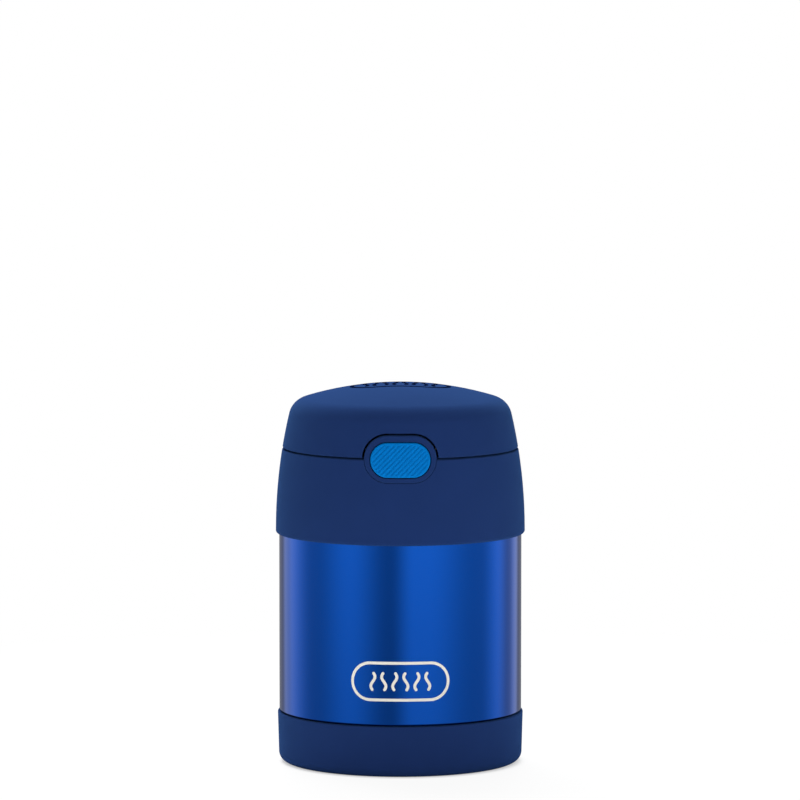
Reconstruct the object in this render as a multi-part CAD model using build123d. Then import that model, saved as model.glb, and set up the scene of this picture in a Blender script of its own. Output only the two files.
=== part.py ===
from build123d import *
import os
from math import acos, degrees, sqrt

# Insulated food jar: a double-walled steel body in a plastic boot, and a screw-on lid whose dome
# cover is hinged at the rear, latched by a push button at the front, and hides a folding spoon.
# Millimetres. +Z is up and the origin is the centre of the base. The button faces -Y and the
# hinge is at +Y. A distance towards the button is written as a depth of -Y, called "front".

# ---- Driving dimensions: outside, from the base up ----
boot_height = 18.2
body_height = 82.4              # base to the collar's lower edge
collar_height = 30.4            # collar's lower edge to the seam
cover_height = 23.2             # seam to the top of the dome
body_radius = 43.41
boot_foot_overhang = 0.09       # boot's foot outside the body's side
boot_rim_overhang = 0.62        # boot's rim outside the body's side
boot_corner = 3.5
boot_gap = 0.45                 # boot's rim to the body's step
lid_overhang = 1.22             # widest place of the lid's bowed wall outside the body's side
lid_belly = 0.85                # height of that place above the collar's lower edge
lid_bow_radius = 184.4
shoulder_radius = 7.64
dome_radius = 118.1

# ---- Driving dimensions: steel body ----
steel = 0.6
body_shoulder_rise = 3.3        # shoulder above the collar's lower edge
body_shoulder_round = 3.5
shoulder_width = 8.41           # body's side to the neck
neck_height = 12.3              # shoulder to the lip
lip_thickness = 0.8
lip_width = 3.0                 # neck to the inside of the mouth
vacuum_gap = 8.21               # between the two steel walls
food_floor = 9.0
food_corner = 8.0
foot_inset = 1.8                # step from the body in to the foot inside the boot
foil = 0.25

# ---- Driving dimensions: thread ----
thread_lead = 9.0
thread_starts = 2
thread_depth = 1.3
thread_root = 1.6
thread_crest = 0.9
neck_thread_turns = 0.95
lid_thread_turns = 0.6

# ---- Driving dimensions: lid ----
collar_wall = 2.2
cover_wall = 1.6
liner_wall = 1.2
skirt_wall = 1.8
plug_wall = 1.6
plug_depth = 8.0                # below the lip
gasket_thickness = 1.8
deck_wall = 1.4
skirt_gap = 1.2                 # between the neck's thread and the threaded skirt
ledge_inset = 1.0               # collar's ledge reaches inside the cover's skins
ledge_thickness = 1.5
flange_thickness = 1.8
pocket_rim = 3.5                # deck left at the pocket's ends
pocket_half_width = 17.8
seam_gap = 0.55
edge_round = 0.4

# ---- Driving dimensions: button and latch ----
bezel_width = 25.5
bezel_height = 16.5
button_width = 21.2
button_height = 12.2
button_drop = 0.3               # button's middle below the bezel's
button_travel = 2.0
button_proud = 0.35
button_round = 0.5
bezel_proud = 0.2
bezel_round = 0.45
bezel_shelf = 0.9               # bezel's face outside its well
well_depth = 7.3                # lid's wall to the well's back wall
well_wall = 1.2
latch_drop = 5.1                # seam to the middle of the latch plate
latch_reach = 7.0               # latch plate behind the well's back wall
latch_half_width = 6.0
latch_thickness = 1.4
catch_half_width = 4.0
catch_thickness = 1.4
catch_bite = 0.7                # how far the hook stands out of the tongue
catch_hook = 1.5                # height of the hook
gusset_height = 14.2            # from the inside of the cover's top, with the gusset's length
gusset_length = 7.5
gusset_thickness = 1.6
spring_length = 4.2             # button spring, between the latch and its post
post_half_width = 3.5

# ---- Driving dimensions: hinge ----
pin_radius = 1.0
barrel_radius = 2.6
barrel_half_length = 6.5
knuckle_length = 3.0
web_length = 7.5
hinge_turn_room = 0.4           # round the barrel
spring_half_length = 3.2
spring_wire = 0.45

# ---- Driving dimensions: folding spoon ----
spoon_steel = 0.8
bowl_half_length = 23.0
bowl_half_width = 16.0
bowl_depth = 6.4
spoon_room = 2.5                # between the spoon and the pocket's ends
handle_half_width = 6.0
rivet_radius = 0.95
eye_radius = 1.8                # barrel of the folding joint
eye_half_length = 3.0

# ---- Clearances ----
apart = 0.3                     # between pieces that move past each other, and round loose ones
sliding = 0.3                   # round the button
cover_clear = 0.75              # between the cover and the bezel, which it closes over
bore_play = 0.05                # pins in their holes
laid_in = 0.15                  # between the cover's two skins, and round the bezel
seated = 0.02                   # between pieces that are joined

# ---- Levels and radii that follow ----
seam_z = body_height + collar_height
top_z = seam_z + cover_height
boot_foot_radius = body_radius + boot_foot_overhang
boot_rim_radius = body_radius + boot_rim_overhang
lid_radius = body_radius + lid_overhang
neck_radius = body_radius - shoulder_width
mouth_radius = neck_radius - lip_width                  # inside
food_outer_radius = body_radius - steel - vacuum_gap
food_radius = food_outer_radius - steel                 # inside
shoulder_z = body_height + body_shoulder_rise
lip_z = shoulder_z + neck_height
neck_top_z = lip_z - lip_thickness
foot_radius = body_radius - foot_inset
foot_z = 2.6                    # underside of the steel foot
boot_floor_z = foot_z - apart
boot_recess = 1.0
disc_z = 5.0                    # top of the closing disc
flange_z = lip_z + apart + gasket_thickness + apart     # underside of the inner lid's flange
flange_top_z = flange_z + flange_thickness
ledge_z = flange_top_z + apart                          # underside of the collar's ledge
ledge_top_z = ledge_z + ledge_thickness
deck_top_z = seam_z - 1.4
deck_z = deck_top_z - deck_wall
pocket_floor_z = ledge_top_z + 0.6
skirt_radius = neck_radius + thread_depth + skirt_gap   # inside of the threaded skirt
plug_radius = mouth_radius - 0.8
past_lid = 1.1 * lid_radius                             # outside the lid, where a cut may end
wall_centre = Vector(lid_radius - lid_bow_radius, body_height + lid_belly)
dome_centre = Vector(0, top_z - dome_radius)


def wall_radius(z, depth=0.0):
    """Radius of the lid's bowed wall at a height, at a depth inside its outer face."""
    return wall_centre.X + sqrt((lid_bow_radius - depth) ** 2 - (z - wall_centre.Y) ** 2)


liner_depth = cover_wall + laid_in
cover_depth = liner_depth + liner_wall                  # both skins of the cover
ledge_radius = wall_radius(seam_z, cover_depth) - ledge_inset
deck_radius = wall_radius(seam_z, cover_depth) - apart
hinge_y = wall_radius(seam_z) - 0.3
hinge_length = barrel_half_length + hinge_turn_room + knuckle_length
well_back = wall_radius(seam_z) - well_depth            # front face of the well's back wall
button_back = well_back + button_travel + apart + latch_thickness
latch_z = seam_z - latch_drop                           # mid-height of the latch plate
latch_back = well_back - latch_reach
catch_front = well_back - well_wall - 1.0
catch_back = catch_front - catch_thickness
post_front = latch_back - spring_length
pocket_half_length = deck_radius - pocket_rim
spoon_pivot = spoon_room + eye_radius - pocket_half_length
handle_reach = -spoon_pivot
bowl_centre = pocket_half_length - spoon_room - bowl_half_length
spoon_z = pocket_floor_z + apart                        # lowest point of the bowl
bowl_rim_z = spoon_z + bowl_depth
handle_z = bowl_rim_z + 1.0
eye_z = bowl_rim_z - spoon_steel                        # folding joint's axis
ear_inner = eye_half_length + apart


def turned(*corners):
    """Solid of revolution from corners given as radius, height and rounding."""
    outline = FilletPolyline(
        *[(r, z) for r, z, _ in corners], radius=[rounding for _, _, rounding in corners], close=True
    )
    return revolve(Plane.XZ * make_face(outline), Axis.Z)


def block(x, y, z):
    """Box between two limits along each axis."""
    size = [high - low for low, high in (x, y, z)]
    middle = [(high + low) / 2 for low, high in (x, y, z)]
    return Pos(*middle) * Box(*size)


def front_block(half_width, back, front, low, high):
    """Box centred on the front line, between two distances from the jar's axis."""
    return block((-half_width, half_width), (-front, -back), (low, high))


def capsule(width, height, margin=0.0):
    """Outline with half-circle ends, grown by a margin."""
    return SlotOverall(width + 2 * margin, height + 2 * margin)


def well_outline(margin=0.0):
    """Outline of the button's well, inside the bezel's face."""
    return capsule(bezel_width, bezel_height, margin - bezel_shelf)


def button_outline(margin=0.0):
    """Outline of the button, a little below the bezel's middle."""
    return Pos(0, -button_drop) * capsule(button_width, button_height, margin)


def front_capsule(outline, back, front):
    """Outline round the bezel's centre, pushed between two distances from the jar's axis."""
    return extrude(Plane.XZ.offset(back) * Pos(0, seam_z) * outline, amount=front - back)


def arc(centre, start, end):
    """Arc about a centre by the shorter way."""
    middle = ((start - centre).normalized() + (end - centre).normalized()).normalized()
    return ThreePointArc(start, centre + middle * (start - centre).length, end)


def wall_arc(low, high, depth):
    """Upright arc of the lid's bowed wall."""
    ends = [Vector(wall_radius(z, depth), z) for z in (low, high)]
    return arc(wall_centre, *ends)


def wall_band(low, high, outer_depth, inner_depth):
    """Ring of the bowed wall between two heights and two depths."""
    outer = wall_arc(low, high, outer_depth)
    inner = wall_arc(low, high, inner_depth)
    edges = [outer, inner, Line(outer @ 0, inner @ 0), Line(outer @ 1, inner @ 1)]
    return revolve(Plane.XZ * make_face(edges), Axis.Z)


def wall_core(low, high, depth):
    """Everything inside a depth of the bowed wall between two heights."""
    side = wall_arc(low, high, depth)
    edges = [side, Line((0, low), side @ 0), Line((0, high), side @ 1), Line((0, low), (0, high))]
    return revolve(Plane.XZ * make_face(edges), Axis.Z)


def shoulder_centre():
    """Centre of the arc that is tangent to the bowed wall and to the dome."""
    wall_reach = lid_bow_radius - shoulder_radius
    dome_reach = dome_radius - shoulder_radius
    apart_line = dome_centre - wall_centre
    along = (apart_line.length**2 + wall_reach**2 - dome_reach**2) / (2 * apart_line.length)
    across = sqrt(wall_reach**2 - along**2)
    unit = apart_line.normalized()
    return wall_centre + unit * along + Vector(-unit.Y, unit.X) * across


def cover_arcs(bottom, depth):
    """Wall, shoulder and dome arcs of the cover, at a depth inside its outer face."""
    shoulder = shoulder_centre()
    start = Vector(wall_radius(bottom, depth), bottom)
    on_wall = wall_centre + (shoulder - wall_centre).normalized() * (lid_bow_radius - depth)
    on_dome = dome_centre + (shoulder - dome_centre).normalized() * (dome_radius - depth)
    top = Vector(0, top_z - depth)
    side = arc(wall_centre, start, on_wall)
    return [side, arc(shoulder, on_wall, on_dome), arc(dome_centre, on_dome, top)]


def cover_skin(bottom, outer_depth, inner_depth, rounding=0.0):
    """Dome-shaped skin between two depths, with its lower outer edge rounded."""
    outer = cover_arcs(bottom, outer_depth)
    inner = cover_arcs(bottom, inner_depth)
    foot = Line(outer[0] @ 0, inner[0] @ 0)
    face = make_face(outer + inner + [foot, Line(outer[2] @ 1, inner[2] @ 1)])
    if rounding:
        face = soften(face, foot @ 0, rounding)
    return revolve(Plane.XZ * face, Axis.Z)


def cover_core(bottom, depth):
    """Everything inside a depth of the cover's outer face."""
    side = cover_arcs(bottom, depth)
    edges = side + [Line((0, bottom), side[0] @ 0), Line((0, bottom), side[2] @ 1)]
    return revolve(Plane.XZ * make_face(edges), Axis.Z)


def soften(face, corner, rounding):
    """Round the corner of a flat outline that lies nearest to a point."""
    return fillet(face.vertices().sort_by_distance(corner)[0], rounding)


def along_hinge(low, high, radius):
    """Cylinder on the hinge's axis between two places along X."""
    return Pos((low + high) / 2, hinge_y, seam_z) * Rot(0, 90, 0) * Cylinder(radius, high - low)


def knuckle(low, high, web_z):
    """Hinge barrel joined to the lid's wall by a web that reaches up or down to a height."""
    centre = Vector(hinge_y, seam_z)
    up = 1 if web_z > seam_z else -1
    wall_y = wall_radius(web_z)
    foot = Vector(wall_y - 0.2, web_z)
    reach = foot - centre
    swing = -up * degrees(acos(barrel_radius / reach.length))
    outer = centre + (reach.normalized() * barrel_radius).rotate(Axis.Z, swing)
    inner = centre + Vector(-0.6, 0.8 * up) * barrel_radius
    round_side = ThreePointArc(outer, centre + Vector(0, -up) * barrel_radius, inner)
    web = Polyline(inner, (wall_y - cover_wall + 0.1, web_z), foot, outer)
    outline = make_face([round_side, web])
    return extrude(Plane.YZ.offset(low) * outline, amount=high - low)


def coil(radius, wire, length, turns):
    """Round wire wound along +Z from the origin, with its ends inside the length."""
    rise = length - wire
    path = Pos(0, 0, wire / 2) * Helix(pitch=rise / turns, height=rise, radius=radius)
    section = Plane(origin=path @ 0, z_dir=path % 0) * Circle(wire / 2)
    return sweep(section, path=path, is_frenet=True)


def thread_ridges(start_z, turns, root_radius, inwards):
    """Ridges of a multi-start thread, on a neck or inside a skirt."""
    reach = -thread_depth if inwards else thread_depth
    bury = -steel / 2 if not inwards else steel / 2
    corners = [
        (root_radius + bury, -thread_root / 2),
        (root_radius + reach, -thread_crest / 2),
        (root_radius + reach, thread_crest / 2),
        (root_radius + bury, thread_root / 2),
    ]
    section = Plane.XZ * make_face(Polyline(*corners, close=True))
    path = Helix(pitch=thread_lead, height=thread_lead * turns, radius=root_radius)
    ridge = Pos(0, 0, start_z) * sweep(section, path=path, is_frenet=True)
    return [Rot(0, 0, 360 / thread_starts * start) * ridge for start in range(thread_starts)]


# ---- Jar ----
def outer_shell():
    """Drawn steel body: foot, straight side, shoulder and threaded neck."""
    inner = body_radius - steel
    step_z = boot_height + boot_gap
    body = turned(
        (foot_radius, foot_z, 0),
        (foot_radius, step_z, 0),
        (body_radius, step_z, 0.5),
        (body_radius, shoulder_z, body_shoulder_round),
        (neck_radius, shoulder_z, 1.2),
        (neck_radius, neck_top_z, 0),
        (neck_radius - steel, neck_top_z, 0),
        (neck_radius - steel, shoulder_z - steel, 1.2 + steel),
        (inner, shoulder_z - steel, body_shoulder_round - steel),
        (inner, step_z + steel, 0),
        (foot_radius - steel, step_z + steel, 0),
        (foot_radius - steel, foot_z, 0),
    )
    start = shoulder_z + 1.5
    return body + thread_ridges(start, neck_thread_turns, neck_radius, inwards=False)


def inner_liner():
    """Food container with the mouth and the rolled lip."""
    step_low = lip_z - 13.5
    step_high = lip_z - 10.5
    return turned(
        (0, food_floor - steel, 0),
        (food_outer_radius, food_floor - steel, food_corner + steel),
        (food_outer_radius, step_low, 2.0),
        (mouth_radius + steel, step_high, 2.0),
        (mouth_radius + steel, neck_top_z, 0),
        (neck_radius, neck_top_z, 0),
        (neck_radius, lip_z, 0.35),
        (mouth_radius, lip_z, 0.5),
        (mouth_radius, step_high, 2.0),
        (food_radius, step_low, 2.0),
        (food_radius, food_floor, food_corner),
        (0, food_floor, 0),
    )


def shell_bottom():
    """Dished disc welded inside the foot, with the hole the air was drawn through."""
    rim = foot_radius - steel - bore_play
    disc = turned(
        (0, disc_z - steel, 0),
        (rim - steel, disc_z - steel, 0.4),
        (rim - steel, foot_z, 0),
        (rim, foot_z, 0),
        (rim, disc_z, 0.9),
        (0, disc_z, 0),
    )
    return disc - Pos(0, 0, disc_z) * Cylinder(0.8, 4 * steel)


def vacuum_seal_bead():
    """Bead melted over the hole in the disc."""
    top = disc_z - steel
    return turned((0, top - 1.0, 0), (2.4, top - 1.0, 0.7), (2.4, top, 0), (0, top, 0))


def getter():
    """Pill on the closing disc, inside the vacuum."""
    return Pos(foot_radius / 2, 0, disc_z + 1.0) * Cylinder(4.0, 2.0)


def radiation_shield():
    """Foil wrapped round the food container."""
    inner = food_outer_radius + foil
    low = food_floor + food_corner
    high = lip_z - 17
    return turned((inner, low, 0), (inner + foil, low, 0), (inner + foil, high, 0), (inner, high, 0))


def base_boot():
    """Boot pressed over the foot, standing on a ring."""
    inner = foot_radius + apart
    return turned(
        (0, boot_recess, 0),
        (inner - 6, boot_recess, 0.6),
        (inner - 5, 0, 0.6),
        (boot_foot_radius, 0, boot_corner),
        (boot_rim_radius, boot_height, 0.5),
        (inner, boot_height, 0.3),
        (inner, boot_floor_z, 0),
        (0, boot_floor_z, 0),
    )


# ---- Lid ----
def lid_gasket():
    """Silicone ring on the plug, over the lip."""
    low = lip_z + apart
    high = flange_z - apart
    inner = plug_radius + apart
    outer = neck_radius + 1.0
    return turned((inner, low, 0.5), (outer, low, 0.5), (outer, high, 0.3), (inner, high, 0.3))


def inner_lid():
    """Plug, flange and threaded skirt in one moulding."""
    floor_z = lip_z - plug_depth
    skirt_outer = skirt_radius + skirt_wall
    skirt_z = shoulder_z + 0.7
    flange_radius = wall_radius(flange_z, collar_wall) - 0.6
    cup = turned(
        (0, floor_z, 0),
        (plug_radius, floor_z, 1.5),
        (plug_radius, flange_z, 0),
        (skirt_radius, flange_z, 0),
        (skirt_radius, skirt_z, 0.4),
        (skirt_outer, skirt_z, 0.4),
        (skirt_outer, flange_z, 0),
        (flange_radius, flange_z, 0.3),
        (flange_radius, flange_top_z, 0.3),
        (plug_radius - plug_wall, flange_top_z, 0),
        (plug_radius - plug_wall, floor_z + plug_wall, 0.8),
        (0, floor_z + plug_wall, 0),
    )
    start = shoulder_z + 1.5 + thread_lead / thread_starts / 2
    return cup + thread_ridges(start, lid_thread_turns, skirt_radius, inwards=True)


def lid_insulation():
    """Foam that fills the plug."""
    radius = plug_radius - plug_wall - apart
    low = lip_z - plug_depth + plug_wall + apart
    high = pocket_floor_z - deck_wall - apart
    return turned((0, low, 0), (radius, low, 0.8), (radius, high, 0), (0, high, 0))


def lid_collar():
    """Outer ring of the lid, with its inner ledge, bezel opening and outer hinge knuckles."""
    top = seam_z - seam_gap / 2
    foot_inner = body_radius + 0.2
    taper_z = shoulder_z + 1.3
    outer = wall_arc(body_height, top, 0)
    inner = wall_arc(taper_z, top, collar_wall)
    foot_corner = Vector(foot_inner, body_height + 1.2)
    edges = [
        outer,
        inner,
        Line(outer @ 1, inner @ 1),
        Line(inner @ 0, foot_corner),
        Line(foot_corner, (foot_inner, body_height)),
        Line((foot_inner, body_height), outer @ 0),
    ]
    section = soften(make_face(edges), outer @ 0, 0.9)
    section = soften(section, outer @ 1, edge_round)
    ring = revolve(Plane.XZ * section, Axis.Z)
    ledge_outer = wall_radius(ledge_z, collar_wall) + collar_wall / 2
    ledge = turned(
        (ledge_radius, ledge_z, 0.3),
        (ledge_outer, ledge_z, 0),
        (ledge_outer, ledge_top_z, 0),
        (ledge_radius, ledge_top_z, 0.3),
    )
    opening = capsule(bezel_width, bezel_height, laid_in)
    ring = ring + ledge - front_capsule(opening, well_back, past_lid)
    barrel_room = barrel_half_length + hinge_turn_room
    for low in (-hinge_length, barrel_room):
        ring += knuckle(low, low + knuckle_length, seam_z - web_length)
    ring -= along_hinge(-barrel_room, barrel_room, barrel_radius + hinge_turn_room)
    return ring - along_hinge(-hinge_length, hinge_length, pin_radius + bore_play)


def spoon_tray():
    """Deck under the cover, with the spoon's pocket, the rim and the guides of the latch."""
    skirt_inner = deck_radius - deck_wall
    rim_z = seam_z + 0.4
    tray = turned(
        (skirt_inner, ledge_top_z, 0),
        (deck_radius, ledge_top_z, 0),
        (deck_radius, rim_z, 0.3),
        (deck_radius - 1.0, rim_z, 0.3),
        (deck_radius - 1.0, deck_top_z, 0),
        (0, deck_top_z, 0),
        (0, deck_z, 0),
        (skirt_inner, deck_z, 0),
    )
    pocket = SlotOverall(2 * pocket_half_length, 2 * pocket_half_width)
    tub = SlotOverall(2 * (pocket_half_length + deck_wall), 2 * (pocket_half_width + deck_wall))
    tub_z = pocket_floor_z - deck_wall
    tray += extrude(Plane.XY.offset(tub_z) * tub, amount=deck_top_z - tub_z)
    tray -= extrude(Plane.XY.offset(pocket_floor_z) * pocket, amount=deck_top_z)
    low = latch_z - latch_thickness / 2
    guide = latch_half_width + apart
    for side in (-1, 1):
        web = sorted((side * guide, side * (guide + 1.0)))
        lip = sorted((side * (guide - 1.4), side * (guide + 1.0)))
        span = (-well_back + well_wall + apart, -latch_back + 1.0)
        tray += block(web, span, (low - apart - 1.0, deck_z))
        tray += block(lip, span, (low - apart - 1.0, low - apart))
    tray += front_block(post_half_width, post_front - deck_wall, post_front, low - 1.5, deck_z)
    slot_back = catch_back - catch_bite - 0.5
    tray -= front_block(catch_half_width + 0.5, slot_back, well_back, deck_z, deck_top_z)
    return tray - front_capsule(well_outline(apart), well_back - well_wall - apart, past_lid)


def button_bezel():
    """Frame that follows the lid's wall, with the well the button slides in."""
    half = bezel_height / 2
    frame = wall_band(seam_z - half - 1, seam_z + half + 1, -bezel_proud, cover_depth)
    frame &= front_capsule(capsule(bezel_width, bezel_height), well_back, lid_radius)
    face_edges = frame.edges().filter_by(lambda e: e.center().Y < -wall_radius(seam_z) + 1.5)
    frame = fillet(face_edges, bezel_round)
    frame += front_capsule(well_outline(), well_back - well_wall, wall_radius(seam_z, cover_depth))
    frame -= front_capsule(button_outline(sliding), well_back, past_lid)
    slot = (latch_z - latch_thickness / 2 - apart, latch_z + latch_thickness / 2 + apart)
    return frame - front_block(latch_half_width + apart, well_back - 2 * well_wall, well_back + 1, *slot)


def hinge_pin():
    """Steel pin through the knuckles and the barrel."""
    return along_hinge(-hinge_length, hinge_length, pin_radius)


def hinge_spring():
    """Torsion spring round the pin, inside the barrel."""
    spring = coil(pin_radius + spring_wire + laid_in, spring_wire, 2 * spring_half_length, 10)
    return Pos(-spring_half_length, hinge_y, seam_z) * Rot(0, 90, 0) * spring


def button_spring():
    """Coil spring between the latch and its post."""
    length = latch_back - post_front - 2 * bore_play
    spring = coil(1.75, 0.4, length, 4)
    return Pos(0, -post_front - bore_play, latch_z) * Rot(90, 0, 0) * spring


def spheroid_cap(half_length, half_width, depth):
    """Bottom of a spheroid about X, with the given size at the cut, which lies at height 0."""
    short = (half_width**2 + depth**2) / (2 * depth)
    long = half_length / sqrt(1 - (1 - depth / short) ** 2)
    bow = EllipticalCenterArc((0, 0), long, short, start_angle=0, arc_size=180)
    body = Pos(0, 0, short - depth) * revolve(make_face([bow, Line(bow @ 0, bow @ 1)]), Axis.X)
    return body - block((-2 * long, 2 * long), (-2 * long, 2 * long), (0, 3 * short))


def spoon_bowl():
    """Pressed bowl with a neck and the barrel of the folding joint."""
    rim = Pos(bowl_centre, 0, bowl_rim_z)
    inner_size = [size - spoon_steel for size in (bowl_half_length, bowl_half_width, bowl_depth)]
    tip = bowl_centre - bowl_half_length
    eye = eye_half_length
    corners = [(spoon_pivot, -eye), (tip + 4, -2 * eye), (tip + 4, 2 * eye), (spoon_pivot, eye)]
    outline = make_face(Polyline(*corners, close=True))
    neck = extrude(Plane.XY.offset(eye_z) * outline, amount=spoon_steel)
    bowl = rim * spheroid_cap(bowl_half_length, bowl_half_width, bowl_depth) + neck
    bowl -= rim * spheroid_cap(*inner_size)
    across = Pos(spoon_pivot, 0, eye_z) * Rot(90, 0, 0)
    bowl += across * Cylinder(eye_radius, 2 * eye)
    return bowl - across * Cylinder(rivet_radius + bore_play, 3 * eye)


def spoon_handle():
    """Handle folded over the bowl, with two ears on the rivet."""
    length = handle_reach - spoon_pivot + 2 * eye_radius
    plate = extrude(SlotOverall(length, 2 * handle_half_width), amount=spoon_steel)
    handle = Pos(spoon_pivot - eye_radius + length / 2, 0, handle_z) * plate
    across = Pos(spoon_pivot, 0, eye_z) * Rot(90, 0, 0)
    ear_x = (spoon_pivot - eye_radius, spoon_pivot + eye_radius)
    for side in (-1, 1):
        ear_y = sorted((side * ear_inner, side * (ear_inner + spoon_steel)))
        handle += block(ear_x, ear_y, (eye_z, handle_z + spoon_steel / 2))
        handle += Pos(0, sum(ear_y) / 2, 0) * across * Cylinder(eye_radius, spoon_steel)
    return handle - across * Cylinder(rivet_radius + bore_play, 4 * ear_inner)


def spoon_rivet():
    """Rivet with two heads through the folding joint."""
    ears = ear_inner + spoon_steel
    head = 0.7
    rivet = Cylinder(rivet_radius, 2 * (ears + head / 2))
    for side in (-1, 1):
        rivet += Pos(0, 0, side * (ears + bore_play + head / 2)) * Cylinder(1.5, head)
    return Pos(spoon_pivot, 0, eye_z) * Rot(90, 0, 0) * rivet


# ---- Cover ----
def cover_notch():
    """Room for the bezel in the cover's two skins."""
    opening = capsule(bezel_width, bezel_height, cover_clear)
    return front_capsule(opening, well_back - well_wall - apart, past_lid)


def knuckle_room():
    """Room for the collar's knuckles, which the cover turns round."""
    room = barrel_radius + hinge_turn_room
    low = barrel_half_length
    high = hinge_length + hinge_turn_room
    return along_hinge(low, high, room) + along_hinge(-high, -low, room)


def cover_shell():
    """Outer dome with the hinge's middle barrel."""
    skin = cover_skin(seam_z + seam_gap / 2, 0, cover_wall, edge_round) - cover_notch()
    skin -= knuckle_room()
    skin += knuckle(-barrel_half_length, barrel_half_length, seam_z + web_length)
    spring_room = spring_half_length + apart
    skin -= along_hinge(-spring_room, spring_room, barrel_radius - 0.5)
    return skin - along_hinge(-barrel_half_length, barrel_half_length, pin_radius + bore_play)


def cover_liner():
    """Inner skin of the cover."""
    skin = cover_skin(seam_z + seam_gap / 2, liner_depth, cover_depth) - cover_notch() - knuckle_room()
    reach = barrel_half_length + apart
    return skin - along_hinge(-reach, reach, barrel_radius + apart)


def cover_catch():
    """Tongue under the liner, with the hook that the latch holds and a gusset behind it."""
    hook_z = latch_z - latch_thickness / 2 - apart
    low = hook_z - catch_hook
    hook = catch_back - catch_bite
    tongue = Polyline(
        (-catch_front, low),
        (-catch_back, low),
        (-hook, low + 0.8),
        (-hook, hook_z),
        (-catch_back, hook_z),
        (-catch_back, top_z),
        (-catch_front, top_z),
        close=True,
    )
    back = -catch_back - 0.5
    low_corner = (back, top_z - gusset_height)
    gusset = Polyline(low_corner, (back + gusset_length, top_z), (back, top_z), close=True)
    catch = extrude(Plane.YZ * make_face(tongue), amount=catch_half_width, both=True)
    catch += extrude(Plane.YZ * make_face(gusset), amount=gusset_thickness / 2, both=True)
    return catch & cover_core(low - 1, cover_depth + seated)


# ---- Button ----
def button_cap():
    """Push button whose face follows the lid's wall."""
    half = button_height / 2 + button_drop
    core = wall_core(seam_z - half - 1, seam_z + half + 1, -button_proud)
    cap = core & front_capsule(button_outline(), button_back, past_lid)
    face_edges = cap.edges().filter_by(lambda e: e.center().Y < -button_back - 1.0)
    return fillet(face_edges, button_round)


def latch_slide():
    """Plate behind the button, with the window that the catch drops through."""
    low = latch_z - latch_thickness / 2
    high = latch_z + latch_thickness / 2
    latch = front_block(latch_half_width, latch_back, button_back, low, high)
    latch += front_block(latch_half_width - 1, button_back - 1.2, button_back, low, seam_z + 1)
    window_back = catch_back - catch_bite - apart
    window_front = catch_front + button_travel + apart + 0.1
    latch -= front_block(catch_half_width + 0.6, window_back, window_front, low, high)
    spigot = Pos(0, -latch_back + 0.5, latch_z) * Rot(90, 0, 0) * Cylinder(1.2, 1.4)
    return latch + spigot


os.makedirs("parts", exist_ok=True)
nodes = (
    outer_shell,
    inner_liner,
    shell_bottom,
    vacuum_seal_bead,
    getter,
    radiation_shield,
    base_boot,
    lid_gasket,
    inner_lid,
    lid_insulation,
    lid_collar,
    spoon_tray,
    button_bezel,
    hinge_pin,
    hinge_spring,
    button_spring,
    spoon_bowl,
    spoon_handle,
    spoon_rivet,
    cover_shell,
    cover_liner,
    cover_catch,
    button_cap,
    latch_slide,
)
for node in nodes:
    export_step(node(), f"parts/{node.__name__}.step")
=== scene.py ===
from math import pi, radians

import bpy
import numpy as np
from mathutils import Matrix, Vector


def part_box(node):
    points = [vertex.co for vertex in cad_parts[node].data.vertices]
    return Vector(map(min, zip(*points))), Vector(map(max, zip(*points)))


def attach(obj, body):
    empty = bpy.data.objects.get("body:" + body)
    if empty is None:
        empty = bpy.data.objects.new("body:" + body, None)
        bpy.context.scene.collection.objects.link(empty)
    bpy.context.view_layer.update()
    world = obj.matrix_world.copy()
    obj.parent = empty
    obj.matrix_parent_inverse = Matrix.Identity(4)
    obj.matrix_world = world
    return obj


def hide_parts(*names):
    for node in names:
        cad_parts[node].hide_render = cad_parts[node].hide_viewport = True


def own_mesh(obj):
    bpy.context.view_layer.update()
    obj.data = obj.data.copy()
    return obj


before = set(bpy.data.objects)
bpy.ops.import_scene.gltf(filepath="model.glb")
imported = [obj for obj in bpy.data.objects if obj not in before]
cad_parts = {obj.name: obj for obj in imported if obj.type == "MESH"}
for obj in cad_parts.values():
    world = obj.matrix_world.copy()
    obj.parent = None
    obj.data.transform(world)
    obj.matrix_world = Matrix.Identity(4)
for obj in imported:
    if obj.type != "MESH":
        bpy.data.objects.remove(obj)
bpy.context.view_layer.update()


# ---- Studio ----
# A pale table under soft studio light: a broad panel overhead, and a pale room whose upright
# panels, bright and dim in turn, are what the lacquered steel mirrors as soft bands.
# Nothing here is part of the jar.
camera_lens = 271.6
camera_place = (-0.000115, -2.15, 0.33235)
camera_pitch = 5.38                     # degrees below the horizon
camera_sight = 50                       # how far it sees
lamp_panels = (                         # name, place, side, power
    ("high_panel", (-0.18, 0.85, 1.15), 1.1, 40.0),
    ("front_panel", (0.7, -2.0, 0.8), 1.5, 16.0),
)
floor_size = 30.0
floor_grey = 0.98
floor_glow = 0.91                       # share of plain white in the table the camera sees
contact_glow = 0.25                     # the same share where the jar stands
contact_reach = (0.0395, 0.0460)        # radii between which the share grows
shadow_reach = 0.35                     # beyond this the table is plain white
room_back = 0.30                        # brightness behind the jar
room_high = 0.15                        # and well above or below the horizon
room_rise = 1.6                         # how fast, by a direction's z, it changes to that
room_ease = 0.1                         # and how softly the change ends
ceiling_glow = 0.6                      # what mirrors see more of overhead
ground_glow = 0.25                      # and underfoot
glow_reach = (0.2, 0.7)                 # how high, as a direction's z, each begins and is whole
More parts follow.
